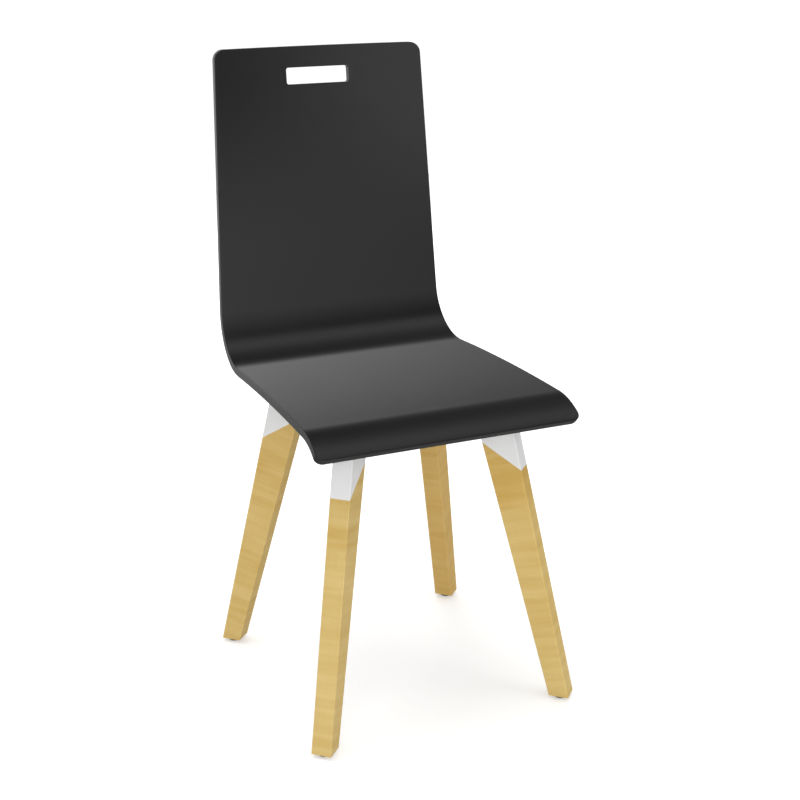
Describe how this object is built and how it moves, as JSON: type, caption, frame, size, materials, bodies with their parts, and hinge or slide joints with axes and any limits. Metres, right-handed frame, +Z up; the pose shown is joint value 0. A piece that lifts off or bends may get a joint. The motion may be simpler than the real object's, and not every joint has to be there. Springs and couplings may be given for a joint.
{
  "type": "dining chair",
  "caption": "Armless dining chair with a one-piece moulded plywood seat and back, a hand slot at the top, and splayed tapered wooden legs in metal sockets.",
  "frame": {"origin": "on the floor, under the middle of the chair's bounding box", "axes": "+Z up; the chair faces -Y; +X is to the right for someone who stands in front of the chair and looks at it"},
  "size_m": [0.4198, 0.4898, 0.9166],
  "materials": {
    "black_plywood": "satin black lacquer over moulded beech plywood",
    "natural_wood": "clear satin lacquer on solid pale wood",
    "white_metal": "satin white powder coat on steel",
    "pad_plastic": "natural nylon",
    "zinc_steel": "bright zinc plate",
    "glide_plastic": "matt black plastic"
  },
  "bodies": {
    "root": {"seat_shell": "black_plywood", "front_right_leg": "natural_wood", "front_left_leg": "natural_wood", "rear_left_leg": "natural_wood", "rear_right_leg": "natural_wood", "front_right_leg_socket": "white_metal", "front_left_leg_socket": "white_metal", "rear_left_leg_socket": "white_metal", "rear_right_leg_socket": "white_metal", "front_right_frame_arm": "white_metal", "front_left_frame_arm": "white_metal", "rear_left_frame_arm": "white_metal", "rear_right_frame_arm": "white_metal", "frame_hub": "white_metal", "hub_gusset": "white_metal", "front_seat_pads": "pad_plastic", "rear_seat_pads": "pad_plastic", "seat_bolts": "zinc_steel", "seat_washers": "zinc_steel", "threaded_inserts": "zinc_steel", "leg_screws": "zinc_steel", "glide_screws": "zinc_steel", "front_right_glide": "glide_plastic", "front_left_glide": "glide_plastic", "rear_left_glide": "glide_plastic", "rear_right_glide": "glide_plastic"}
  },
  "joints": []
}
